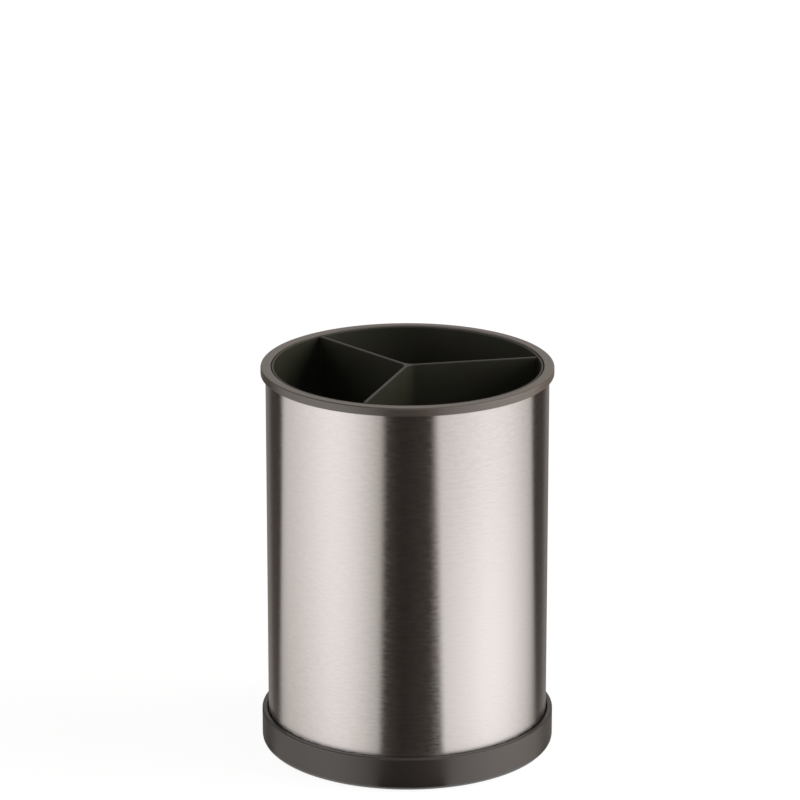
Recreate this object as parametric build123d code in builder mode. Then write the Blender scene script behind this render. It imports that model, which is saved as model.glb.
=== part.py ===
from build123d import *
import os

# Rotating utensil crock: a steel can with a plastic rim ring turns on a ball race in a
# plastic base tray. A loose liner stands in the can, and a three-way divider in the liner.
# Millimetres. The origin is on the floor, on the axis of rotation, and Z is up.

os.makedirs("parts", exist_ok=True)

# Overall sizes: every radius follows from the sleeve's diameter
overall_height = 204.4
sleeve_diameter = 145.0
base_height = 18.6

# Steel sleeve
sleeve_wall = 0.6
fit_gap = 0.1

# Rim ring: side band, top web, inner leg and the ribs that grip the sleeve
rim_overhang = 2.5
rim_band_height = 4.3
rim_web = 1.8
rim_leg_wall = 1.5
rim_leg_depth = 11.0
rim_leg_inset = 2.1
rim_outer_round = 0.9
rim_lower_round = 0.6
rim_bore_round = 0.5
rim_rib_count = 12
rim_rib_thickness = 1.2
rim_rib_drop = 3.0

# Foot pads
pad_count = 6
pad_diameter = 14.0
pad_thickness = 1.6
pad_proud = 0.8
pad_clearance = 0.1
pad_inset = 15.8
pad_edge = 0.3

# Base tray
foot_gap = 0.6
ledge_width = 2.7
deck_clearance = 4.2
deck_thickness = 2.4
skirt_foot_wall = 4.0
skirt_round = 3.2
ledge_round = 1.0
ledge_bore_round = 0.5
tray_rib_thickness = 1.6
tray_rib_setback = 1.6
pad_boss_wall = 1.4
post_diameter = 14.0
post_boss_wall = 2.0

# Ball race
ball_diameter = 6.0
ball_count = 12
track_inset = 13.0
groove_clearance = 0.1
race_width = 10.0
race_height = 2.0
race_gap = 3.8
cage_width = 9.2
cage_thickness = 2.4
pocket_clearance = 0.15

# Turn plate
turn_plate_inset = 11.8
turn_plate_thickness = 2.4
hub_clearance = 0.08
hub_wall = 2.5
hub_length = 3.8
hub_play = 0.3
washer_clearance = 1.0

# Pivot screw and washer
washer_diameter = 20.0
washer_thickness = 1.2
pivot_shank_diameter = 4.0
pivot_head_diameter = 8.4
pivot_head_height = 2.2
pivot_screw_length = 10.2
pivot_drive_size = 4.0
pivot_drive_depth = 1.3
pilot_clearance = 0.05
pilot_floor = 1.5
head_round = 0.6
drive_slot = 0.9

# Can base
can_floor = 2.0
can_skirt_wall = 2.0
can_flange = 1.2
can_drop = 6.3
can_rib_count = 12
can_rib_thickness = 1.6
can_rib_clearance = 1.0
can_rib_height = 3.2

# Plate screws
plate_screw_count = 4
plate_screw_inset = 15.0
plate_screw_diameter = 3.0
plate_screw_length = 7.5
plate_head_diameter = 5.8
plate_head_height = 1.8
plate_boss_diameter = 8.0
plate_drive_size = 2.8
plate_drive_depth = 1.0

# Liner
liner_gap = 0.3
liner_drop = 0.3
liner_wall = 1.3
liner_floor = 1.6
liner_taper = 1.9
liner_corner = 5.0
liner_lip_round = 0.6
liner_foot_inset = 4.55
liner_foot_height = 2.4
liner_foot_wall = 1.6
guide_depth = 2.5
guide_thickness = 1.2
guide_clearance = 0.35
guide_stop = 30.0

# Divider
vane_count = 3
first_vane_angle = 11.6
vane_thickness = 1.8
vane_gap = 0.6
vane_drop = 0.2
vane_core_diameter = 4.0
vane_corner = 7.0
vane_edge_round = 0.4

# Radii, from the sleeve outwards and inwards
sleeve_radius = sleeve_diameter / 2
sleeve_bore = sleeve_radius - sleeve_wall
rim_radius = sleeve_radius + rim_overhang
rim_bore = sleeve_bore - rim_leg_inset
tray_bore = sleeve_radius + foot_gap
base_radius = tray_bore + ledge_width
skirt_foot_bore = base_radius - skirt_foot_wall
pad_circle = base_radius - pad_inset
spigot_radius = sleeve_bore - fit_gap
can_skirt_bore = spigot_radius - can_skirt_wall
turn_plate_radius = can_skirt_bore - turn_plate_inset
track_radius = turn_plate_radius - track_inset
plate_screw_circle = track_radius - plate_screw_inset
ball_radius = ball_diameter / 2
groove_radius = ball_radius + groove_clearance
post_radius = post_diameter / 2
hub_bore = post_radius + hub_clearance
washer_pocket = washer_diameter / 2 + washer_clearance

# Levels, from the floor up
tray_bottom = pad_proud
deck_bottom = tray_bottom + deck_clearance
deck_top = deck_bottom + deck_thickness
lower_race = deck_top + race_height
ball_level = lower_race + race_gap / 2
upper_race = lower_race + race_gap
turn_plate_bottom = upper_race + race_height
turn_plate_top = turn_plate_bottom + turn_plate_thickness
can_floor_top = turn_plate_top + can_floor
flange_top = can_floor_top - can_floor - can_drop
flange_bottom = flange_top - can_flange
pivot_head_top = turn_plate_top - hub_play
washer_top = pivot_head_top - pivot_head_height
post_top = washer_top - washer_thickness
hub_shoulder = post_top - hub_play
rim_bottom = overall_height - rim_band_height
sleeve_top = overall_height - rim_web - fit_gap
liner_top = overall_height - liner_drop
liner_floor_bottom = can_floor_top + liner_foot_height
liner_floor_top = liner_floor_bottom + liner_floor
vane_top = overall_height - vane_drop
guide_top = liner_top - guide_stop


def radial_plane(angle):
    """Upright plane through the axis: its x runs outwards at the angle, its y runs up."""
    return Plane(Rotation(0, 0, angle) * Plane.XZ.location)


def liner_radius(level):
    """Radius of the liner's inner wall at a level: widest at the mouth, less by the taper below."""
    depth_share = (liner_top - level) / (liner_top - liner_floor_top)
    return rim_bore - liner_gap - liner_wall - liner_taper * depth_share


# Base tray: skirt with a ledge, deck with the lower race, and the post that the hub turns on
with BuildPart() as base_tray:
    with BuildSketch(Plane.XZ) as tray_section:
        with BuildLine():
            Polyline(
                (0, deck_bottom),
                (skirt_foot_bore, deck_bottom),
                (skirt_foot_bore, tray_bottom),
                (base_radius, tray_bottom),
                (base_radius, base_height),
                (tray_bore, base_height),
                (tray_bore, deck_top),
                (track_radius + race_width / 2, deck_top),
                (track_radius + race_width / 2, lower_race),
                (track_radius - race_width / 2, lower_race),
                (track_radius - race_width / 2, deck_top),
                (post_radius, deck_top),
                (post_radius, post_top),
                (0, post_top),
                close=True,
            )
        make_face()
        skirt_corners = tray_section.vertices().group_by(Axis.X)[-1].sort_by(Axis.Y)
        fillet(skirt_corners[0], radius=skirt_round)
        fillet(skirt_corners[-1], radius=ledge_round)
        ledge_bore_corner = tray_section.vertices().sort_by_distance((tray_bore, base_height))[0]
        fillet(ledge_bore_corner, radius=ledge_bore_round)
    revolve(axis=Axis.Z)
    with BuildSketch(Plane.XZ):
        with Locations((track_radius, ball_level)):
            Circle(groove_radius)
    revolve(axis=Axis.Z, mode=Mode.SUBTRACT)
    # Stiffening under the deck: six spokes, a ring under the race and a boss under the post
    spoke_length = skirt_foot_bore + skirt_foot_wall / 4
    with BuildSketch(Plane.XY.offset(tray_bottom + tray_rib_setback)):
        Circle(track_radius + tray_rib_thickness / 2)
        Circle(track_radius - tray_rib_thickness / 2, mode=Mode.SUBTRACT)
        with PolarLocations(spoke_length / 2, pad_count, start_angle=180 / pad_count):
            Rectangle(spoke_length, tray_rib_thickness)
        Circle(post_radius + post_boss_wall)
    extrude(amount=deck_bottom - tray_bottom - tray_rib_setback)
    with BuildSketch(Plane.XY.offset(tray_bottom)):
        with PolarLocations(pad_circle, pad_count):
            Circle(pad_diameter / 2 + pad_clearance + pad_boss_wall)
    extrude(amount=deck_clearance)
    with BuildSketch(Plane.XY.offset(tray_bottom)):
        with PolarLocations(pad_circle, pad_count):
            Circle(pad_diameter / 2 + pad_clearance)
    extrude(amount=pad_thickness - pad_proud, mode=Mode.SUBTRACT)
    # Pilot hole for the pivot screw
    with BuildSketch(Plane.XY.offset(post_top)):
        Circle(pivot_shank_diameter / 2 + pilot_clearance)
    extrude(amount=-(pivot_screw_length - washer_thickness + pilot_floor), mode=Mode.SUBTRACT)
base_tray.part.label = "base_tray"
export_step(base_tray.part, "parts/base_tray.step")

# Foot pads: soft discs in the recesses of the tray, proud of its bottom
with BuildPart() as foot_pads:
    with BuildSketch():
        with PolarLocations(pad_circle, pad_count):
            Circle(pad_diameter / 2)
    extrude(amount=pad_thickness)
    chamfer(foot_pads.edges().group_by(Axis.Z)[0], length=pad_edge)
foot_pads.part.label = "foot_pads"
export_step(foot_pads.part, "parts/foot_pads.step")

# Bearing balls: a circle of balls between the two grooves
with BuildPart() as bearing_balls:
    with Locations((0, 0, ball_level)):
        with PolarLocations(track_radius, ball_count):
            Sphere(ball_radius)
bearing_balls.part.label = "bearing_balls"
export_step(bearing_balls.part, "parts/bearing_balls.step")

# Ball cage: a flat ring with one round pocket for each ball
with BuildPart() as ball_cage:
    with BuildSketch(Plane.XY.offset(ball_level - cage_thickness / 2)):
        Circle(track_radius + cage_width / 2)
        Circle(track_radius - cage_width / 2, mode=Mode.SUBTRACT)
        with PolarLocations(track_radius, ball_count):
            Circle(ball_radius + pocket_clearance, mode=Mode.SUBTRACT)
    extrude(amount=cage_thickness)
ball_cage.part.label = "ball_cage"
export_step(ball_cage.part, "parts/ball_cage.step")

# Turn plate: disc with the upper race below it, a hub round the post and bosses for the screws
with BuildPart() as turn_plate:
    with BuildSketch(Plane.XZ):
        with BuildLine():
            Polyline(
                (hub_bore, hub_shoulder - hub_length),
                (washer_pocket + hub_wall, hub_shoulder - hub_length),
                (washer_pocket + hub_wall, turn_plate_bottom),
                (track_radius - race_width / 2, turn_plate_bottom),
                (track_radius - race_width / 2, upper_race),
                (track_radius + race_width / 2, upper_race),
                (track_radius + race_width / 2, turn_plate_bottom),
                (turn_plate_radius, turn_plate_bottom),
                (turn_plate_radius, turn_plate_top),
                (washer_pocket, turn_plate_top),
                (washer_pocket, hub_shoulder),
                (hub_bore, hub_shoulder),
                close=True,
            )
        make_face()
    revolve(axis=Axis.Z)
    with BuildSketch(Plane.XZ):
        with Locations((track_radius, ball_level)):
            Circle(groove_radius)
    revolve(axis=Axis.Z, mode=Mode.SUBTRACT)
    with BuildSketch(Plane.XY.offset(upper_race)):
        with PolarLocations(plate_screw_circle, plate_screw_count):
            Circle(plate_boss_diameter / 2)
    extrude(amount=turn_plate_bottom - upper_race)
    with BuildSketch(Plane.XY.offset(turn_plate_top)):
        with PolarLocations(plate_screw_circle, plate_screw_count):
            Circle(plate_screw_diameter / 2 + pilot_clearance)
    extrude(amount=upper_race - turn_plate_top, mode=Mode.SUBTRACT)
turn_plate.part.label = "turn_plate"
export_step(turn_plate.part, "parts/turn_plate.step")

# Pivot washer: lies on the post and holds the hub's shoulder down
with BuildPart() as pivot_washer:
    with BuildSketch(Plane.XY.offset(post_top)):
        Circle(washer_diameter / 2)
        Circle(pivot_shank_diameter / 2 + fit_gap, mode=Mode.SUBTRACT)
    extrude(amount=washer_thickness)
pivot_washer.part.label = "pivot_washer"
export_step(pivot_washer.part, "parts/pivot_washer.step")

# Pivot screw: round head on the washer, shank down in the post, cross recess in the head
with BuildPart() as pivot_screw:
    with BuildSketch(Plane.XY.offset(washer_top)):
        Circle(pivot_head_diameter / 2)
    extrude(amount=pivot_head_height)
    fillet(pivot_screw.edges().group_by(Axis.Z)[-1], radius=head_round)
    with BuildSketch(Plane.XY.offset(washer_top)):
        Circle(pivot_shank_diameter / 2)
    extrude(amount=-pivot_screw_length)
    with BuildSketch(Plane.XY.offset(pivot_head_top)):
        Rectangle(pivot_drive_size, drive_slot)
        Rectangle(drive_slot, pivot_drive_size)
    extrude(amount=-pivot_drive_depth, mode=Mode.SUBTRACT)
pivot_screw.part.label = "pivot_screw"
export_step(pivot_screw.part, "parts/pivot_screw.step")

# Can base: floor of the can, a skirt inside the sleeve's foot and a flange under its edge
with BuildPart() as can_base:
    with BuildSketch(Plane.XZ):
        with BuildLine():
            Polyline(
                (0, turn_plate_top),
                (can_skirt_bore, turn_plate_top),
                (can_skirt_bore, flange_bottom),
                (sleeve_radius, flange_bottom),
                (sleeve_radius, flange_top),
                (spigot_radius, flange_top),
                (spigot_radius, can_floor_top),
                (0, can_floor_top),
                close=True,
            )
        make_face()
    revolve(axis=Axis.Z)
    # Ribs in the corner of the floor and the skirt, outside the turn plate
    rib_start = turn_plate_radius + can_rib_clearance
    rib_length = can_skirt_bore + can_skirt_wall / 2 - rib_start
    with BuildSketch(Plane.XY.offset(turn_plate_top)):
        with PolarLocations(rib_start + rib_length / 2, can_rib_count):
            Rectangle(rib_length, can_rib_thickness)
    extrude(amount=-can_rib_height)
    with BuildSketch(Plane.XY.offset(can_floor_top)):
        with PolarLocations(plate_screw_circle, plate_screw_count):
            Circle(plate_screw_diameter / 2 + fit_gap)
    extrude(amount=-can_floor, mode=Mode.SUBTRACT)
can_base.part.label = "can_base"
export_step(can_base.part, "parts/can_base.step")

# Plate screws: hold the can base down on the turn plate
plate_head_top = can_floor_top + plate_head_height
with BuildPart() as plate_screws:
    with BuildSketch(Plane.XY.offset(can_floor_top)):
        with PolarLocations(plate_screw_circle, plate_screw_count):
            Circle(plate_head_diameter / 2)
    extrude(amount=plate_head_height)
    fillet(plate_screws.edges().group_by(Axis.Z)[-1], radius=head_round)
    with BuildSketch(Plane.XY.offset(can_floor_top)):
        with PolarLocations(plate_screw_circle, plate_screw_count):
            Circle(plate_screw_diameter / 2)
    extrude(amount=-plate_screw_length)
    with BuildSketch(Plane.XY.offset(plate_head_top)):
        with PolarLocations(plate_screw_circle, plate_screw_count):
            Rectangle(plate_drive_size, drive_slot)
            Rectangle(drive_slot, plate_drive_size)
    extrude(amount=-plate_drive_depth, mode=Mode.SUBTRACT)
plate_screws.part.label = "plate_screws"
export_step(plate_screws.part, "parts/plate_screws.step")

# Steel sleeve: thin cylinder that stands on the can base's flange, inside the tray's ledge
with BuildPart() as steel_sleeve:
    with BuildSketch(Plane.XY.offset(flange_top)):
        Circle(sleeve_radius)
        Circle(sleeve_bore, mode=Mode.SUBTRACT)
    extrude(amount=sleeve_top - flange_top)
steel_sleeve.part.label = "steel_sleeve"
export_step(steel_sleeve.part, "parts/steel_sleeve.step")

# Rim ring: band outside the sleeve, land over its edge, leg inside, and gripping ribs
rim_leg_outer = rim_bore + rim_leg_wall
with BuildPart() as rim_ring:
    with BuildSketch(Plane.XZ) as rim_section:
        with BuildLine():
            Polyline(
                (rim_bore, overall_height),
                (rim_bore, overall_height - rim_leg_depth),
                (rim_leg_outer, overall_height - rim_leg_depth),
                (rim_leg_outer, overall_height - rim_web),
                (sleeve_radius + fit_gap, overall_height - rim_web),
                (sleeve_radius + fit_gap, rim_bottom),
                (rim_radius, rim_bottom),
                (rim_radius, overall_height),
                close=True,
            )
        make_face()
        band_corners = rim_section.vertices().group_by(Axis.X)[-1].sort_by(Axis.Y)
        fillet(band_corners[0], radius=rim_lower_round)
        fillet(band_corners[-1], radius=rim_outer_round)
        fillet(rim_section.vertices().group_by(Axis.X)[0].sort_by(Axis.Y)[-1], radius=rim_bore_round)
    revolve(axis=Axis.Z)
    grip_length = sleeve_bore - fit_gap - rim_leg_outer + rim_leg_wall / 2
    grip_middle = sleeve_bore - fit_gap - grip_length / 2
    with BuildSketch(Plane.XY.offset(overall_height - rim_web)):
        with PolarLocations(grip_middle, rim_rib_count):
            Rectangle(grip_length, rim_rib_thickness)
    extrude(amount=rim_rib_drop - rim_leg_depth + rim_web)
rim_ring.part.label = "rim_ring"
export_step(rim_ring.part, "parts/rim_ring.step")

# Liner: tapered cup on a foot ring, with a pair of guide ribs for the end of each vane
liner_foot_radius = liner_radius(liner_floor_top) - liner_foot_inset
vane_angles = [first_vane_angle + 360 / vane_count * turn for turn in range(vane_count)]
with BuildPart() as liner:
    with BuildSketch(Plane.XZ) as liner_section:
        with BuildLine():
            Polyline(
                (0, liner_floor_bottom),
                (liner_radius(liner_floor_top) + liner_wall, liner_floor_bottom),
                (liner_radius(liner_top) + liner_wall, liner_top),
                (liner_radius(liner_top), liner_top),
                (liner_radius(liner_floor_top), liner_floor_top),
                (0, liner_floor_top),
                close=True,
            )
        make_face()
        liner_corners = liner_section.vertices().sort_by(Axis.Y)
        floor_corners = liner_corners[:4].sort_by(Axis.X)[-2:].sort_by(Axis.Y)
        fillet(floor_corners[-1], radius=liner_corner)
        fillet(floor_corners[0], radius=liner_corner + liner_floor)
        fillet(liner_corners[-2:], radius=liner_lip_round)
    revolve(axis=Axis.Z)
    with BuildSketch(Plane.XY.offset(can_floor_top)):
        Circle(liner_foot_radius)
        Circle(liner_foot_radius - liner_foot_wall, mode=Mode.SUBTRACT)
    extrude(amount=liner_foot_height)
    guide_offset = vane_thickness / 2 + guide_clearance + guide_thickness / 2
    guide_foot = liner_floor_top - liner_floor / 2
    for angle in vane_angles:
        for side in (-1, 1):
            with BuildSketch(radial_plane(angle).offset(side * guide_offset)):
                Polygon(
                    (liner_radius(guide_foot) - guide_depth, guide_foot),
                    (liner_radius(guide_foot) + liner_wall / 2, guide_foot),
                    (liner_radius(guide_top) + liner_wall / 2, guide_top),
                    (liner_radius(guide_top) - guide_depth, guide_top),
                    align=None,
                )
            extrude(amount=guide_thickness / 2, both=True)
liner.part.label = "liner"
export_step(liner.part, "parts/liner.step")

# Divider: three vanes from a round core, standing on the liner's floor
with BuildPart() as divider:
    for angle in vane_angles:
        with BuildSketch(radial_plane(angle)) as vane:
            Polygon(
                (0, liner_floor_top),
                (liner_radius(liner_floor_top) - vane_gap, liner_floor_top),
                (liner_radius(liner_top) - vane_gap, vane_top),
                (0, vane_top),
                align=None,
            )
            fillet(vane.vertices().sort_by(Axis.X)[-2:].sort_by(Axis.Y)[0], radius=vane_corner)
        extrude(amount=vane_thickness / 2, both=True)
    with BuildSketch(Plane.XY.offset(liner_floor_top)):
        Circle(vane_core_diameter / 2)
    extrude(amount=vane_top - liner_floor_top)
    fillet(divider.edges().group_by(Axis.Z)[-1], radius=vane_edge_round)
divider.part.label = "divider"
export_step(divider.part, "parts/divider.step")
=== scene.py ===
import bmesh
import bpy
import numpy as np
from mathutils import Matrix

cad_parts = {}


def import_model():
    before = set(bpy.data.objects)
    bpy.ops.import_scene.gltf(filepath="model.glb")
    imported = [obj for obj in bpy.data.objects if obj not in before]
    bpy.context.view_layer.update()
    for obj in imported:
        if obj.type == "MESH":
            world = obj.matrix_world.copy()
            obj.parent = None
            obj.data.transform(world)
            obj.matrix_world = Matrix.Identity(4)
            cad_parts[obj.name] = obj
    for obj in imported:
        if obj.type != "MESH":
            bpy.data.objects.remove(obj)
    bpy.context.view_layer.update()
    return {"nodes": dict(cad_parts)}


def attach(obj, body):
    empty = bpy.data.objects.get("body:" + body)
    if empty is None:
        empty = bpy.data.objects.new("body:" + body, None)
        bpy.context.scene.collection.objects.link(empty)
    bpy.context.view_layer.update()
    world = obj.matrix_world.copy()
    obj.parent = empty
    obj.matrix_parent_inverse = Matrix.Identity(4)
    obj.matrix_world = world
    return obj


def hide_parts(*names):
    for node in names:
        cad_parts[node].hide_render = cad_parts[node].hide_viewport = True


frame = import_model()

# Utensil crock: brushed steel can with a satin plastic rim ring, turning on a plastic base tray,
# with a black liner and a three-way divider inside.
# Shapes are worked out in millimetres and written to the meshes in metres. R is the distance from
# the axis of rotation, Z the height over the floor, and -Y points at the viewer of the photograph.

MM = 0.001
FULL_TURN = 2 * np.pi

# Levels and radii of the pieces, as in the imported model
TOP = 204.4
SLEEVE_R, SLEEVE_BORE, SLEEVE_FOOT, SLEEVE_TOP = 72.5, 71.9, 11.3, 202.5
RIM_R, RIM_BORE, RIM_LEG_R, RIM_LEG_FOOT, RIM_FOOT = 75.0, 69.8, 71.3, 193.4, 200.1
RIM_WEB, RIM_FIT, RIM_GRIP_COUNT = 1.8, 0.1, 12
BASE_R, LEDGE_Z, TRAY_BORE, SKIRT_BORE, SKIRT_FOOT = 75.8, 18.6, 73.1, 71.8, 0.8
DECK_BOTTOM, DECK_TOP, RACE_TOP, TRACK_R, RACE_HALF = 5.0, 7.4, 9.4, 45.0, 5.0
POST_R, POST_TOP, POST_BOSS_R, PILOT_R, PILOT_FLOOR = 7.0, 13.9, 9.0, 2.05, 3.4
RIB_FOOT, RIB_HALF = 2.4, 0.8
PAD_CIRCLE, PAD_COUNT, PAD_R, PAD_TOP, PAD_BOSS_WALL, PAD_GAP = 60.0, 6, 7.0, 1.6, 1.4, 0.1
LINER_TOP, LINER_FLOOR, LINER_UNDER, LINER_FOOT, LINER_WALL = 204.1, 23.6, 22.0, 19.6, 1.3
LINER_MOUTH_R, LINER_TAPER, LINER_FOOT_R, LINER_FOOT_WALL = 68.2, 1.9, 61.75, 1.6
VANE_TOP, VANE_HALF, VANE_GAP = 204.2, 0.9, 0.6
VANE_ANGLES = np.radians([11.6, 131.6, 251.6])

# Segments of a full turn: of the thin sleeve, of the wide rings, and of the small discs
SLEEVE_SEGMENTS, RING_SEGMENTS, DISC_SEGMENTS = 384, 320, 64


# Surfaces

def unit(rows):
    """Every row divided by its own length."""
    return rows / np.linalg.norm(rows, axis=-1, keepdims=True)


def rounded(corners, steps=5, reach=0.15, closed=True):
    """Outline with round corners, from rows (r, z, round).

    The centre of a corner's arc lies on the bisector, round / sin(h) away, where h is half the corner's
    angle. With a and b from the centre to the two touching points and w = pi - 2h, the arc is
    (sin((1 - s) w) a + sin(s w) b) / sin(w) for s from 0 to 1. A point beside each end of the arc keeps
    the shading of the flat side flat. An open outline keeps its first and last corner sharp."""
    corners = np.array(corners, float)
    place, bend = corners[:, :2], corners[:, 2:]
    back, ahead = unit(np.roll(place, 1, 0) - place), unit(np.roll(place, -1, 0) - place)
    middle = unit(back + ahead)
    half = np.arccos((back * middle).sum(1, keepdims=True))
    centre = place + middle * bend / np.sin(half)
    first, last = place + back * bend / np.tan(half), place + ahead * bend / np.tan(half)
    room = np.linalg.norm(np.roll(first, -1, 0) - last, axis=1, keepdims=True)
    beside = np.minimum(reach, 0.35 * room)
    swing = (np.pi - 2 * half)[:, None]
    share = np.linspace(0, 1, steps)[None, :, None]
    arc = (np.sin((1 - share) * swing) * (first - centre)[:, None]
           + np.sin(share * swing) * (last - centre)[:, None]) / np.sin(swing) + centre[:, None]
    before = first + back * np.roll(beside, 1, 0)
    after = last + ahead * beside
    rows = np.concatenate([before[:, None], arc, after[:, None]], 1)
    if closed:
        return rows.reshape(-1, 2)
    return np.concatenate([place[:1], after[:1], rows[1:-1].reshape(-1, 2), before[-1:], place[-1:]])


def mesh_grid(points, wrap_rows=True, wrap_columns=True):
    """Quads between neighbours of a grid of points, joined end to start where it wraps."""
    rows, columns = points.shape[:2]
    i, j = np.meshgrid(np.arange(rows - (not wrap_rows)), np.arange(columns - (not wrap_columns)),
                       indexing="ij")
    i, j = i.ravel(), j.ravel()
    following, beside = (i + 1) % rows, (j + 1) % columns
    quads = np.stack([i * columns + j, following * columns + j,
                      following * columns + beside, i * columns + beside], 1)
    return points.reshape(-1, 3), quads.tolist()


def revolved(outline, segments=256, closed=True):
    """Surface of revolution: outline point (r, z) goes to (r cos t, r sin t, z) for every turn t.
    An open outline starts and ends on the axis, where a fan of triangles closes it."""
    turn = np.linspace(0, FULL_TURN, segments, endpoint=False)[:, None]
    rings = outline if closed else outline[1:-1]
    r, z = rings[None, :, 0], rings[None, :, 1]
    grid = np.stack(np.broadcast_arrays(r * np.cos(turn), r * np.sin(turn), z), -1)
    points, faces = mesh_grid(grid, wrap_columns=closed)
    if closed:
        return points, faces
    poles = np.array([[0, 0, outline[0, 1]], [0, 0, outline[-1, 1]]])
    first = np.arange(segments) * len(rings)
    following = np.roll(first, -1)
    lower = np.stack([np.full(segments, len(points)), following, first], 1)
    upper = np.stack([np.full(segments, len(points) + 1), first + len(rings) - 1,
                      following + len(rings) - 1], 1)
    return np.concatenate([points, poles]), faces + lower.tolist() + upper.tolist()


def block(size, edge, steps=4):
    """Box with round edges about the origin: sign(n) (size / 2 - edge) + edge n, for every direction n.
    Each quadrant and each half has its own copy of the directions on its border, so the flat faces
    are the wide quads between the copies."""
    quarter = np.linspace(0, np.pi / 2, steps)
    turn = (quarter[None] + np.arange(4)[:, None] * np.pi / 2).ravel()
    rise = np.concatenate([quarter - np.pi / 2, quarter])
    middle_turn = np.repeat(np.arange(4) * np.pi / 2 + np.pi / 4, steps)
    direction = np.stack(np.broadcast_arrays(np.cos(rise)[None] * np.cos(turn)[:, None],
                                             np.cos(rise)[None] * np.sin(turn)[:, None],
                                             np.sin(rise)[None]), -1)
    side = np.stack(np.broadcast_arrays(np.sign(np.cos(middle_turn))[:, None],
                                        np.sign(np.sin(middle_turn))[:, None],
                                        np.repeat([-1.0, 1.0], steps)[None]), -1)
    grid = side * (np.array(size) / 2 - edge) + edge * direction
    points, faces = mesh_grid(grid, wrap_columns=False)
    columns = len(rise)
    caps = [(np.arange(len(turn)) * columns)[::-1].tolist(),
            (np.arange(len(turn)) * columns + columns - 1).tolist()]
    return points, faces + caps


def placed(shape, x=0.0, y=0.0, z=0.0, turn=0.0, lean=0.0):
    """The shape leant outwards by lean per unit of height, moved by (x, y, z), and then turned about
    the axis: x' = (x + lean z) cos t - y sin t, y' = (x + lean z) sin t + y cos t."""
    points, faces = shape
    along, across = points[:, 0] + lean * points[:, 2] + x, points[:, 1] + y
    return np.stack([along * np.cos(turn) - across * np.sin(turn),
                     along * np.sin(turn) + across * np.cos(turn), points[:, 2] + z], 1), faces


def piece(name, shapes, finish, body, slot, *nodes):
    """One object out of closed shapes. It rides on the body and stands for the nodes."""
    same_place, no_length = 1e-7, 1e-8
    points, faces, start = [], [], 0
    for some_points, some_faces in shapes:
        points.append(some_points)
        faces += [[corner + start for corner in face] for face in some_faces]
        start += len(some_points)
    mesh = bpy.data.meshes.new(name)
    mesh.from_pydata(np.concatenate(points) * MM, [], faces)
    work = bmesh.new()
    work.from_mesh(mesh)
    bmesh.ops.remove_doubles(work, verts=work.verts, dist=same_place)
    bmesh.ops.dissolve_degenerate(work, edges=work.edges, dist=no_length)
    bmesh.ops.recalc_face_normals(work, faces=work.faces)
    work.to_mesh(mesh)
    work.free()
    mesh.polygons.foreach_set("use_smooth", np.ones(len(mesh.polygons), bool))
    mesh.materials.append(finish)
    made = bpy.data.objects.new(name, mesh)
    bpy.context.scene.collection.objects.link(made)
    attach(made, body)
    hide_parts(*nodes)


# Finishes

class Socket:
    """An output of a node. Arithmetic with it adds the Math node that works it out."""

    def __init__(self, finish, link):
        self.finish, self.link = finish, link

    def worked(self, operation, *values):
        """Result of a Math node's operation on the values."""
        return self.finish.node("ShaderNodeMath", {"operation": operation}, dict(enumerate(values)))

    def __add__(self, other):
        return self.worked("ADD", self, other)

    def __sub__(self, other):
        return self.worked("SUBTRACT", self, other)

    def __rsub__(self, other):
        return self.worked("SUBTRACT", other, self)

    def __mul__(self, other):
        return self.worked("MULTIPLY", self, other)

    def __truediv__(self, other):
        return self.worked("DIVIDE", self, other)

    __radd__, __rmul__ = __add__, __mul__

    def size(self):
        return self.worked("ABSOLUTE", self)

    def most(self, other):
        return self.worked("MAXIMUM", self, other)

    def least(self, other):
        return self.worked("MINIMUM", self, other)

    def over(self, other):
        return self.worked("GREATER_THAN", self, other)

    def eased(self, low, high):
        """0 below low, 1 above high, and a smooth step between them."""
        return self.finish.node("ShaderNodeMapRange", {"interpolation_type": "SMOOTHSTEP"},
                                {"Value": self, "From Min": low, "From Max": high})


class Finish:
    """A material, or the world, and the nodes in it."""

    def __init__(self, owner):
        owner.use_nodes = True
        self.owner, self.tree = owner, owner.node_tree
        self.tree.nodes.clear()

    def node(self, kind, settings, values, output=0):
        """Adds a node: its settings, then the values or links of its sockets."""
        made = self.tree.nodes.new(kind)
        for name, value in settings.items():
            setattr(made, name, value)
        for name, value in values.items():
            if isinstance(value, Socket):
                self.tree.links.new(value.link, made.inputs[name])
            else:
                made.inputs[name].default_value = value
        return Socket(self, made.outputs[output]) if made.outputs else None

    def place(self):
        """Object coordinates, in metres."""
        return self.node("ShaderNodeTexCoord", {}, {}, "Object")

    def along(self, axis):
        """One of the object coordinates, X, Y or Z, as a number."""
        return self.node("ShaderNodeSeparateXYZ", {}, {0: self.place()}, axis)

    def stretched(self, scale):
        """Object coordinates times a scale for each axis."""
        return self.node("ShaderNodeMapping", {}, {"Vector": self.place(), "Scale": scale})

    def noise(self, scale, detail=2.0, roughness=0.5):
        """Noise from 0 to 1, with the scale of each axis in features per metre."""
        return self.node("ShaderNodeTexNoise", {"normalize": True},
                         {"Vector": self.stretched(scale), "Scale": 1.0, "Detail": detail,
                          "Roughness": roughness})

    def blend(self, share, first, second):
        """Colour between the first, where the share is 0, and the second, where it is 1."""
        return self.node("ShaderNodeMix", {"data_type": "RGBA"},
                         {"Factor": share, 6: first, 7: second}, 2)

    def bump(self, height, depth):
        """Normal of a surface that stands depth metres proud where the height is 1."""
        return self.node("ShaderNodeBump", {}, {"Height": height, "Distance": depth, "Strength": 1.0})

    def surface(self, **values):
        """Principled surface, joined to the material's output."""
        named = {name.replace("_", " "): value for name, value in values.items()}
        shader = self.node("ShaderNodeBsdfPrincipled", {}, named)
        self.node("ShaderNodeOutputMaterial", {}, {"Surface": shader})
        return self.owner


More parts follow.
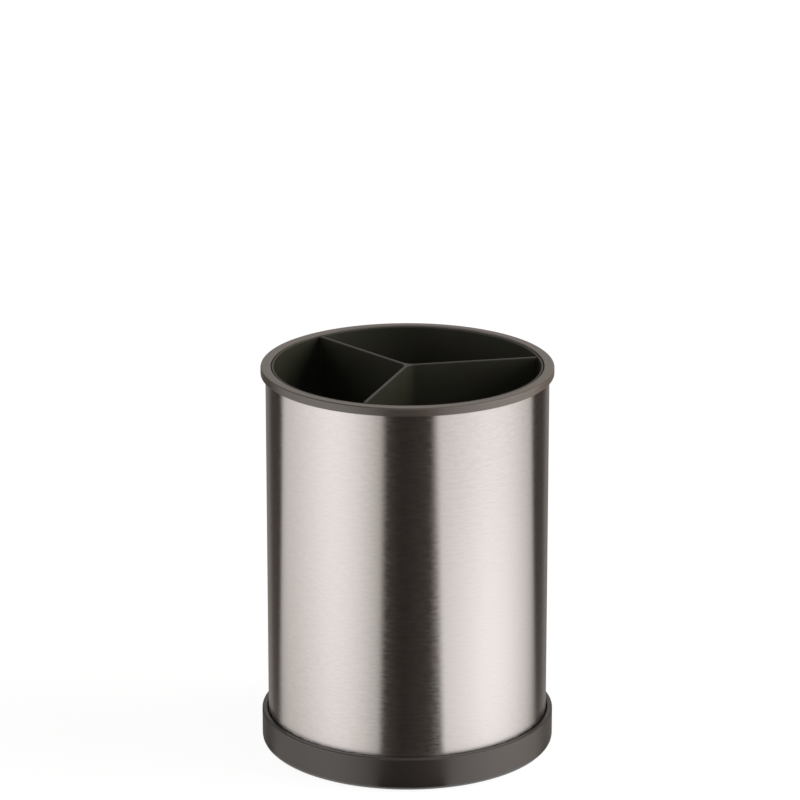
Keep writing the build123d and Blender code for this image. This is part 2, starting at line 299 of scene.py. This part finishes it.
def finish_named(name):
    """New material, with no nodes yet."""
    return Finish(bpy.data.materials.new(name))


def brushed_steel():
    """Sheet steel brushed round the can: long hairs, shorter strokes and slow clouds, and a dressed
    weld at the back. A lighter stroke is rougher too, so that it shows in dark reflections."""
    weld_half_width, relief_depth = 0.0011, 0.0000025
    darker, lighter, welded = (0.803, 0.795, 0.796, 1), (0.861, 0.853, 0.854, 1), (0.62, 0.60, 0.59, 1)
    steel = finish_named("brushed_steel")
    hairs = steel.noise((45, 45, 5200), 3.0, 0.6)
    strokes = steel.noise((240, 240, 950), 2.0, 0.5)
    cloud = steel.noise((9, 9, 5), 2.0, 0.5)
    weld = (1 - (steel.along("X").size() / weld_half_width).least(1.0)) * steel.along("Y").over(0.0)
    tone = 0.20 * hairs + 0.65 * strokes + 0.15 * cloud
    colour = steel.blend(tone.eased(0.38, 0.62), darker, lighter)
    colour = steel.blend(weld * 0.5, colour, welded)
    roughness = 0.19 + 0.01 * hairs + 0.07 * tone.eased(0.36, 0.64)
    relief = 0.6 * hairs + 0.4 * strokes + 0.6 * weld
    return steel.surface(Base_Color=colour, Metallic=1.0, Roughness=roughness, Anisotropic=1.0,
                         Anisotropic_Rotation=0.25, Normal=steel.bump(relief, relief_depth))


def moulded(name, colour, roughness, grain_depth, ior, specular):
    """Moulded plastic with a fine spark-eroded grain: tiny round pits, and slow changes in gloss."""
    spread = 0.14
    plastic = finish_named(name)
    grain = plastic.noise((2600, 2600, 2600), 2.0, 0.6)
    slow = plastic.noise((38, 38, 38), 3.0, 0.55)
    dark = tuple((1 - spread) * level for level in colour)
    light = tuple((1 + spread) * level for level in colour)
    tone = (0.35 * grain + 0.65 * slow).eased(0.3, 0.7)
    return plastic.surface(
        Base_Color=plastic.blend(tone, (*dark, 1), (*light, 1)),
        Roughness=roughness - 0.05 + 0.06 * slow + 0.04 * grain,
        IOR=ior, Specular_IOR_Level=specular, Normal=plastic.bump(grain, grain_depth))


def soft_rubber():
    """Matt rubber with a chalky bloom in places."""
    clean, chalky, grain_depth = (0.020, 0.020, 0.020, 1), (0.045, 0.044, 0.042, 1), 0.00002
    rubber = finish_named("rubber")
    grain, bloom = rubber.noise((1500, 1500, 1500)), rubber.noise((120, 120, 120), 3.0)
    return rubber.surface(Base_Color=rubber.blend(bloom.eased(0.45, 0.75), clean, chalky),
                          Roughness=0.72 + 0.12 * bloom, Normal=rubber.bump(grain, grain_depth))


def bright_metal(name, colour, tinge, roughness):
    """Bright metal with faint clouds of tinge and fine handling marks."""
    mark_depth = 0.000003
    metal = finish_named(name)
    cloud, marks = metal.noise((260, 260, 260), 3.0), metal.noise((1800, 1800, 300), 2.0)
    tone = metal.blend(cloud.eased(0.4, 0.7), (*colour, 1), (*tinge, 1))
    return metal.surface(Base_Color=tone, Metallic=1.0, Roughness=roughness + 0.08 * marks,
                         Normal=metal.bump(marks, mark_depth))


STEEL = brushed_steel()
RIM_PLASTIC = moulded("rim_plastic", (0.0600, 0.0505, 0.0435), roughness=0.32,
                      grain_depth=0.000012, ior=2.15, specular=0.5)
TRAY_PLASTIC = moulded("tray_plastic", (0.0200, 0.0166, 0.0143), roughness=0.40,
                       grain_depth=0.000012, ior=1.97, specular=0.5)
BLACK_PLASTIC = moulded("black_plastic", (0.0140, 0.0147, 0.0103), roughness=0.42,
                        grain_depth=0.000010, ior=1.5, specular=0.7)
NATURAL_PLASTIC = moulded("natural_plastic", (0.66, 0.65, 0.60), roughness=0.45,
                          grain_depth=0.000010, ior=1.5, specular=0.5)
RUBBER = soft_rubber()
BALL_STEEL = bright_metal("polished_steel", (0.78, 0.78, 0.78), tinge=(0.70, 0.70, 0.71), roughness=0.06)
ZINC = bright_metal("zinc_plated", (0.66, 0.67, 0.66), tinge=(0.62, 0.60, 0.52), roughness=0.22)


# Pieces

def liner_radius(level):
    """Radius of the liner's inner wall: straight from the mouth down, less by the taper at the floor."""
    return LINER_MOUTH_R - LINER_TAPER * (LINER_TOP - level) / (LINER_TOP - LINER_FLOOR)


def steel_sleeve():
    """Thin round tube with dressed edges."""
    foot_round, top_round = 0.15, 0.2
    outline = rounded([(SLEEVE_BORE, SLEEVE_FOOT, foot_round), (SLEEVE_R, SLEEVE_FOOT, foot_round),
                       (SLEEVE_R, SLEEVE_TOP, top_round), (SLEEVE_BORE, SLEEVE_TOP, top_round)])
    piece("sleeve", [revolved(outline, SLEEVE_SEGMENTS)], STEEL, "can", "brushed_steel", "steel_sleeve")


def rim_ring():
    """Ring of a U section, open downwards, over the sleeve's edge, with gripping ribs in its groove."""
    bore_round, leg_round, groove_round, mouth_round = 0.5, 0.25, 0.2, 0.12
    band_foot_round, land_round = 0.6, 0.9
    grip_size, grip_edge, grip_sunk, grip_rise = (1.1, 1.2, 6.4), 0.15, 0.06, 6.1
    groove_r, web = SLEEVE_R + RIM_FIT, TOP - RIM_WEB
    outline = rounded([
        (RIM_BORE, TOP, bore_round), (RIM_BORE, RIM_LEG_FOOT, leg_round),
        (RIM_LEG_R, RIM_LEG_FOOT, leg_round), (RIM_LEG_R, web, groove_round),
        (groove_r, web, groove_round), (groove_r, RIM_FOOT, mouth_round),
        (RIM_R, RIM_FOOT, band_foot_round), (RIM_R, TOP, land_round)], 7)
    grip = block(grip_size, grip_edge, 3)
    grips = [placed(grip, x=RIM_LEG_R - grip_sunk, z=RIM_LEG_FOOT + grip_rise, turn=turn)
             for turn in np.linspace(0, FULL_TURN, RIM_GRIP_COUNT, endpoint=False)]
    piece("rim", [revolved(outline, RING_SEGMENTS), *grips], RIM_PLASTIC, "can", "dark_plastic",
          "rim_ring")


def pad_boss():
    """Disc under the deck, with a recess for a foot pad."""
    recess_r, boss_r, top = PAD_R + PAD_GAP, PAD_R + PAD_GAP + PAD_BOSS_WALL, DECK_BOTTOM + 0.4
    return revolved(rounded([(0, PAD_TOP, 0), (recess_r, PAD_TOP, 0.15), (recess_r, SKIRT_FOOT, 0.2),
                             (boss_r, SKIRT_FOOT, 0.3), (boss_r, top, 0.1), (0, top, 0)],
                            4, closed=False), DISC_SEGMENTS, closed=False)


def base_tray():
    """Tray: skirt with a ledge, deck with the lower ball groove, and the post. Under the deck stand
    six spokes, a ring, and a boss with a recess for each foot pad."""
    groove_edge, groove_floor, groove_round = 2.4495, 6.35, 2.85
    skirt_foot_round, skirt_round, ledge_round, ledge_bore_round = 0.4, 3.2, 1.0, 0.5
    spoke_size, spoke_edge, spoke_middle_r, spoke_middle_z = (63.8, 1.6, 3.0), 0.3, 40.2, 3.9
    ring_bore, ring_r = TRACK_R - RIB_HALF, TRACK_R + RIB_HALF
    outline = rounded([
        (0, RIB_FOOT, 0), (POST_BOSS_R, RIB_FOOT, 0.3), (POST_BOSS_R, DECK_BOTTOM, 0.4),
        (ring_bore, DECK_BOTTOM, 0.4), (ring_bore, RIB_FOOT, 0.3), (ring_r, RIB_FOOT, 0.3),
        (ring_r, DECK_BOTTOM, 0.4), (SKIRT_BORE, DECK_BOTTOM, 0.8),
        (SKIRT_BORE, SKIRT_FOOT, skirt_foot_round), (BASE_R, SKIRT_FOOT, skirt_round),
        (BASE_R, LEDGE_Z, ledge_round), (TRAY_BORE, LEDGE_Z, ledge_bore_round),
        (TRAY_BORE, DECK_TOP, 0.6), (TRACK_R + RACE_HALF, DECK_TOP, 0.4),
        (TRACK_R + RACE_HALF, RACE_TOP, 0.3), (TRACK_R + groove_edge, RACE_TOP, 0.05),
        (TRACK_R, groove_floor, groove_round), (TRACK_R - groove_edge, RACE_TOP, 0.05),
        (TRACK_R - RACE_HALF, RACE_TOP, 0.3), (TRACK_R - RACE_HALF, DECK_TOP, 0.4),
        (POST_R, DECK_TOP, 0.6), (POST_R, POST_TOP, 0.3), (PILOT_R, POST_TOP, 0.2),
        (PILOT_R, PILOT_FLOOR, 0.1), (0, PILOT_FLOOR, 0)], 6, closed=False)
    turns = np.linspace(0, FULL_TURN, PAD_COUNT, endpoint=False)
    boss, spoke = pad_boss(), block(spoke_size, spoke_edge, 3)
    bosses = [placed(boss, x=PAD_CIRCLE, turn=turn) for turn in turns]
    spokes = [placed(spoke, x=spoke_middle_r, z=spoke_middle_z, turn=turn + np.pi / PAD_COUNT)
              for turn in turns]
    piece("tray", [revolved(outline, RING_SEGMENTS, closed=False), *bosses, *spokes], TRAY_PLASTIC,
          "base", "dark_plastic", "base_tray")


def foot_pads():
    """Six soft discs with a worn lower edge."""
    foot_round, top_round = 0.35, 0.12
    pad = revolved(rounded([(0, 0, 0), (PAD_R, 0, foot_round), (PAD_R, PAD_TOP, top_round),
                            (0, PAD_TOP, 0)], 6, closed=False), DISC_SEGMENTS, closed=False)
    pads = [placed(pad, x=PAD_CIRCLE, turn=turn)
            for turn in np.linspace(0, FULL_TURN, PAD_COUNT, endpoint=False)]
    piece("pads", pads, RUBBER, "base", "rubber", "foot_pads")


def liner():
    """Tapered cup on a foot ring, with a pair of ribs that guide the end of each vane."""
    foot_round, lip_round, inner_corner, outer_corner = 0.3, 0.6, 5.0, 5.6
    guide_depth, guide_thickness, guide_edge, guide_stop = 3.1, 1.2, 0.3, 30.0
    guide_side, guide_inset, guide_sunk = 1.85, 0.95, 0.8
    floor_r = liner_radius(LINER_FLOOR)
    outline = rounded([
        (0, LINER_UNDER, 0), (LINER_FOOT_R - LINER_FOOT_WALL, LINER_UNDER, foot_round),
        (LINER_FOOT_R - LINER_FOOT_WALL, LINER_FOOT, foot_round), (LINER_FOOT_R, LINER_FOOT, foot_round),
        (LINER_FOOT_R, LINER_UNDER, 0.05), (floor_r + LINER_WALL, LINER_UNDER, outer_corner),
        (LINER_MOUTH_R + LINER_WALL, LINER_TOP, lip_round), (LINER_MOUTH_R, LINER_TOP, lip_round),
        (floor_r, LINER_FLOOR, inner_corner), (0, LINER_FLOOR, 0)], 8, closed=False)
    guide_top, guide_foot = LINER_TOP - guide_stop, LINER_FLOOR - guide_sunk
    middle = (guide_top + guide_foot) / 2
    guide = block((guide_depth, guide_thickness, guide_top - guide_foot), guide_edge, 4)
    lean = LINER_TAPER / (LINER_TOP - LINER_FLOOR)
    guides = [placed(guide, x=liner_radius(middle) - guide_inset, y=side * guide_side, z=middle,
                     turn=turn, lean=lean) for turn in VANE_ANGLES for side in (-1, 1)]
    piece("liner_cup", [revolved(outline, RING_SEGMENTS, closed=False), *guides], BLACK_PLASTIC, "liner",
          "black_plastic", "liner")


def divider():
    """Three vanes out of a filleted core.

    Half of one vane's outline in plan, in its own frame, is the core's fillet of radius f about
    ((h + f) / tan 60, h + f), from the bisector to the side, then the side at h, the half thickness,
    and then the round end. An inset e makes it h - e, f + e and end - e. Up the height, e runs along
    a quarter circle at the bottom and top edge, and the end follows the liner's taper and the round
    lower corner. The faces of the top and bottom close on the middle line of each vane."""
    fillet, tip, corner, edge, foot_edge, floor = 6.2, 0.45, 7.0, 0.4, 0.15, LINER_FLOOR
    clear, straight_rows = 0.3, 5
    quarter = np.linspace(0, np.pi / 2, 6)
    low_corner = np.linspace(0, np.pi / 2, 12)[1:]
    level = np.concatenate([
        [floor], floor + foot_edge * (1 - np.cos(quarter)), floor + corner * (1 - np.cos(low_corner)),
        np.linspace(floor + corner + clear, VANE_TOP - edge - clear, straight_rows),
        VANE_TOP - edge + edge * np.sin(quarter), [VANE_TOP]])
    inset = np.concatenate([[foot_edge], foot_edge * (1 - np.sin(quarter)),
                            np.zeros(len(low_corner) + straight_rows),
                            edge * (1 - np.cos(quarter)), [edge]])
    full_end = liner_radius(level) - VANE_GAP
    drop = np.clip(floor + corner - level, 0, corner)
    end = full_end - corner + np.sqrt(corner ** 2 - drop ** 2) - inset
    order = np.argsort(level, kind="stable")
    level, inset, end = level[order, None], inset[order, None], end[order, None]

    centre_x, centre_y = (VANE_HALF + fillet) / np.tan(np.pi / 3), VANE_HALF + fillet
    sweep = np.radians(np.linspace(240, 270, 9))[None]
    core = np.stack([centre_x + (fillet + inset) * np.cos(sweep),
                     centre_y + (fillet + inset) * np.sin(sweep)], -1)
    side_share = np.array([[0.002, 0.5, 0.998]])
    side_x = centre_x + (end - tip - centre_x) * side_share
    side = np.stack([side_x, np.broadcast_to(VANE_HALF - inset, side_x.shape)], -1)
    round_end = np.linspace(np.pi / 2, 0, 5)[None]
    tip_round = tip - inset / 2
    tip_x = end - tip + tip_round * np.cos(round_end) + inset / 2
    tip_y = VANE_HALF - inset - tip_round * (1 - np.sin(round_end))
    tip_y[:, -1] = np.maximum(tip_y[:, -1], 0)
    half = np.concatenate([core, side, np.stack([tip_x, tip_y], -1)], 1)
    middle_line = half * [1, 0]
    middle_line[:, 0] = 0
    half = np.concatenate([middle_line[:1], half, middle_line[-1:]], 0)
    level = np.concatenate([level[:1], level, level[-1:]], 0)
    vane = np.concatenate([half * [1, -1], half[:, ::-1]], 1)
    whole = np.concatenate([
        np.stack([vane[..., 0] * np.cos(turn) - vane[..., 1] * np.sin(turn),
                  vane[..., 0] * np.sin(turn) + vane[..., 1] * np.cos(turn)], -1)
        for turn in VANE_ANGLES], 1)
    grid = np.concatenate([whole, np.broadcast_to(level[..., None], (*whole.shape[:2], 1))], -1)
    piece("divider_vanes", [mesh_grid(grid, wrap_rows=False)], BLACK_PLASTIC, "divider", "black_plastic",
          "divider")


steel_sleeve()
rim_ring()
base_tray()
foot_pads()
liner()
divider()

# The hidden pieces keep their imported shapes
HIDDEN_FINISHES = {"can_base": BLACK_PLASTIC, "turn_plate": BLACK_PLASTIC, "ball_cage": NATURAL_PLASTIC,
                   "bearing_balls": BALL_STEEL, "pivot_screw": ZINC, "pivot_washer": ZINC,
                   "plate_screws": ZINC}
for node, finish in HIDDEN_FINISHES.items():
    frame["nodes"][node].data.materials.clear()
    frame["nodes"][node].data.materials.append(finish)


# Studio: camera, white floor and world, soft lamps, and dark screens that only reflections show

# The camera looks down by this angle, 17.5 degrees
VIEW_TILT = 0.3054


def look_from():
    """Long lens, 2 m in front of the crock and above it."""
    sensor, focal_length, place = 36.0, 184.5, (-0.0038, -2.0, 0.8158)
    lens = bpy.data.cameras.new("photograph_camera")
    lens.sensor_width, lens.lens = sensor, focal_length
    camera = bpy.data.objects.new("photograph_camera", lens)
    camera.location = place
    camera.rotation_euler = (np.pi / 2 - VIEW_TILT, 0, 0)
    bpy.context.scene.collection.objects.link(camera)
    bpy.context.scene.camera = camera


def seen_white(finish):
    """1 where the ray comes from the camera or from a gloss or glass, 0 elsewhere."""
    path = [finish.node("ShaderNodeLightPath", {}, {}, name)
            for name in ("Is Camera Ray", "Is Glossy Ray", "Is Transmission Ray")]
    return path[0].most(path[1]).most(path[2])


def world(ambient):
    """White where it is seen or mirrored, and a plain grey light for the rest."""
    sky = Finish(bpy.data.worlds.new("studio"))
    bpy.context.scene.world = sky.owner
    strength = ambient + (1 - ambient) * seen_white(sky)
    shader = sky.node("ShaderNodeBackground", {}, {"Color": (1, 1, 1, 1), "Strength": strength})
    sky.node("ShaderNodeOutputWorld", {}, {"Surface": shader})
    sky.owner.cycles.sampling_method = "NONE"


def stage_sheet(name, grid, finish, only_mirrored):
    """Sheet over a grid of points in metres, as a part of the stage."""
    points, faces = mesh_grid(grid, wrap_rows=False, wrap_columns=False)
    mesh = bpy.data.meshes.new(name)
    mesh.from_pydata(points, [], faces)
    mesh.materials.append(finish)
    sheet = bpy.data.objects.new(name, mesh)
    bpy.context.scene.collection.objects.link(sheet)
    if only_mirrored:
        sheet.visible_camera = sheet.visible_diffuse = sheet.visible_shadow = False
        sheet.visible_transmission = sheet.visible_volume_scatter = False
    return sheet


def floor(glow, albedo):
    """White floor that keeps the crock's soft shadow."""
    reach = 8.0
    paint = finish_named("floor")
    seen = seen_white(paint)
    matt = paint.node("ShaderNodeBsdfDiffuse", {}, {"Color": (albedo, albedo, albedo, 1)})
    light = paint.node("ShaderNodeEmission", {}, {"Color": (1, 1, 1, 1), "Strength": glow * seen})
    both = paint.node("ShaderNodeAddShader", {}, {0: matt, 1: light})
    paint.node("ShaderNodeOutputMaterial", {}, {"Surface": both})
    x, y = np.meshgrid([-reach, reach], [-reach, reach], indexing="ij")
    stage_sheet("floor", np.stack([x, y, np.zeros_like(x)], -1), paint.owner, False)


def eased(value, low, high):
    """Smooth step of an array: 0 up to low, 1 from high on."""
    share = np.clip((value - low) / (high - low), 0, 1)
    return share * share * (3 - 2 * share)


def soft_box(t, first, last, soft=1.6):
    """1 between the angles first and last, in degrees, and 0 outside, with soft ends."""
    return eased(t, first - soft, first + soft) * eased(-t, -last - soft, -last + soft)


def mirrored_glow(t, share, rise):
    """Light that the can mirrors at the angle t round it, in degrees from the front; share is 0 at
    the can's foot and 1 at its top, and rise is 1 well above the horizon.

    Two broad soft boxes stand between a narrow dark screen in front, which is wider at the foot, and
    dark screens at the sides, which are lighter at the foot, with grey behind them. Each box is
    brightest at its middle, and falls off evenly to its left, and faster and faster to its right. The
    left one is dimmer at its foot, and the right one is brightest a little below half its height."""
    left_middle, right_middle, blunt = -32.4, 35.8, 3
    front_reach, back_start, back_full = 40, 71.5, 79

    def away(middle):
        return np.sqrt((t - middle) ** 2 + blunt ** 2) - blunt

    left = 1.02 - np.where(t < left_middle, 0.0168 * away(left_middle),
                           0.00125 * (t - left_middle) ** 2)
    left = left * (1 - 0.24 * (1 - share) ** 3 - 0.045 * eased(share, 0.45, 0.9))
    left = left + 0.04 * eased(-t, 52, 58)
    right = 0.82 - np.where(t < right_middle, 0.0130 * away(right_middle),
                            0.0007 * (t - right_middle) ** 2)
    right = right * (1 + 0.375 * eased(-share, -0.93, -0.42) * eased(share, -0.15, 0.25)
                     + 0.085 * eased(share, 0.7, 0.9))
    right = right + 0.05 * eased(t, 53, 59)
    lit_left = soft_box(t, -65.9 + 5.4 * share, -11.6 + 2.7 * share)
    lit_right = soft_box(t, 15.3 - 4.9 * share, 66.7 - 6.7 * share)
    front = 0.026 + 0.015 * eased(t, -2, 9) + 0.016 * eased(-t, 2, 8)
    side = 0.045 + 0.030 * (1 - share) + 0.07 * eased(-share, -0.10, -0.04)
    back = (0.16 + 0.32 * rise) * eased(np.abs(t), back_start, back_full)
    dark = np.where(np.abs(t) < front_reach, front, side + back)
    return dark + lit_left * (np.maximum(left, 0) - dark) + lit_right * (np.maximum(right, 0) - dark)


def glowing(name, grid, glow):
    """Stage sheet that only gloss and metal show, with a light level at each of its points. Its light
    is warmer where it is weaker."""
    weak_tint, middle_tint, full_tint = (1.0, 0.79, 0.67, 1), (1.0, 0.925, 0.868, 1), (1.0, 0.93, 0.90, 1)
    paint = finish_named(name)
    level = paint.node("ShaderNodeAttribute", {"attribute_name": "glow"}, {}, "Fac")
    bright = paint.blend(level.eased(0.6, 0.85), middle_tint, full_tint)
    tint = paint.blend(level.eased(0.0, 0.25), weak_tint, bright)
    light = paint.node("ShaderNodeEmission", {}, {"Color": tint, "Strength": level})
    paint.node("ShaderNodeOutputMaterial", {}, {"Surface": light})
    sheet = stage_sheet(name, grid, paint.owner, True)
    sheet.data.attributes.new("glow", "FLOAT", "POINT").data.foreach_set(
        "value", np.ascontiguousarray(glow, np.float32).ravel())


def mirrored_studio():
    """What the can mirrors, all round it.

    A ray that meets the can at the angle t from the front leaves along (sin 2t, -cos 2t). The sheet
    is R (sin t, -cos t) + l (sin 2t, -cos 2t): all but level, just over the floor, for l from near to
    reach, and upright from there. A ray from the height z meets it at l = z / tan(tilt)."""
    near, reach, height, can_height = 0.0006, 0.9, 1.0, 0.2
    near_z, reach_z, horizon, well_above = 0.0002, 0.004, 0.05, 0.35
    widest, columns, floor_rows, upright_rows = 92.5, 371, 48, 20
    degrees = np.linspace(-widest, widest, columns)[:, None]
    t = np.radians(degrees)
    up = np.linspace(0, height, upright_rows + 1)[None, 1:]
    l = np.concatenate([np.geomspace(near, reach, floor_rows)[None], np.full_like(up, reach)], 1)
    z = np.concatenate([np.linspace(near_z, reach_z, floor_rows)[None], up], 1)
    r = BASE_R * MM
    grid = np.stack(np.broadcast_arrays(r * np.sin(t) + l * np.sin(2 * t),
                                        -r * np.cos(t) - l * np.cos(2 * t), z), -1)
    share = np.clip(l * np.tan(VIEW_TILT) / can_height, 0, 1)
    glowing("mirrored_studio", grid, mirrored_glow(degrees, share, eased(z, horizon, well_above)))


def overhead_screen():
    """Sheet over the crock, dark on the left and lighter on the right, for the plastic's round edges."""
    half_width, front, back, height, columns = 2.5, -2.2, 2.1, 1.3, 11
    x, y = np.meshgrid(np.linspace(-half_width, half_width, columns), [front, back], indexing="ij")
    grid = np.stack([x, y, np.full_like(x, height)], -1)
    glowing("overhead_screen", grid, 0.03 + 0.52 * eased(x, -0.8, 1.5))


def soft_sun(name, azimuth, elevation, strength, spread):
    """Broad even lamp, which gloss doesn't show. Its azimuth is counted from the viewer to the right,
    and its spread is the angle that it fills."""
    warm_white = (1.0, 0.95, 0.91)
    data = bpy.data.lights.new(name, "SUN")
    data.energy, data.angle, data.color = strength, np.radians(spread), warm_white
    lamp = bpy.data.objects.new(name, data)
    lamp.rotation_euler = (np.radians(90 - elevation), 0, np.radians(azimuth))
    lamp.visible_glossy = False
    bpy.context.scene.collection.objects.link(lamp)


look_from()
world(ambient=0.12)
floor(glow=0.935, albedo=0.08)
mirrored_studio()
overhead_screen()
soft_sun("key_lamp", azimuth=85, elevation=9, strength=9.9, spread=60)
soft_sun("fill_lamp", azimuth=-84, elevation=9, strength=2.4, spread=60)
soft_sun("top_lamp", azimuth=0, elevation=62, strength=0.7, spread=50)
bpy.context.scene.view_settings.view_transform = "Standard"
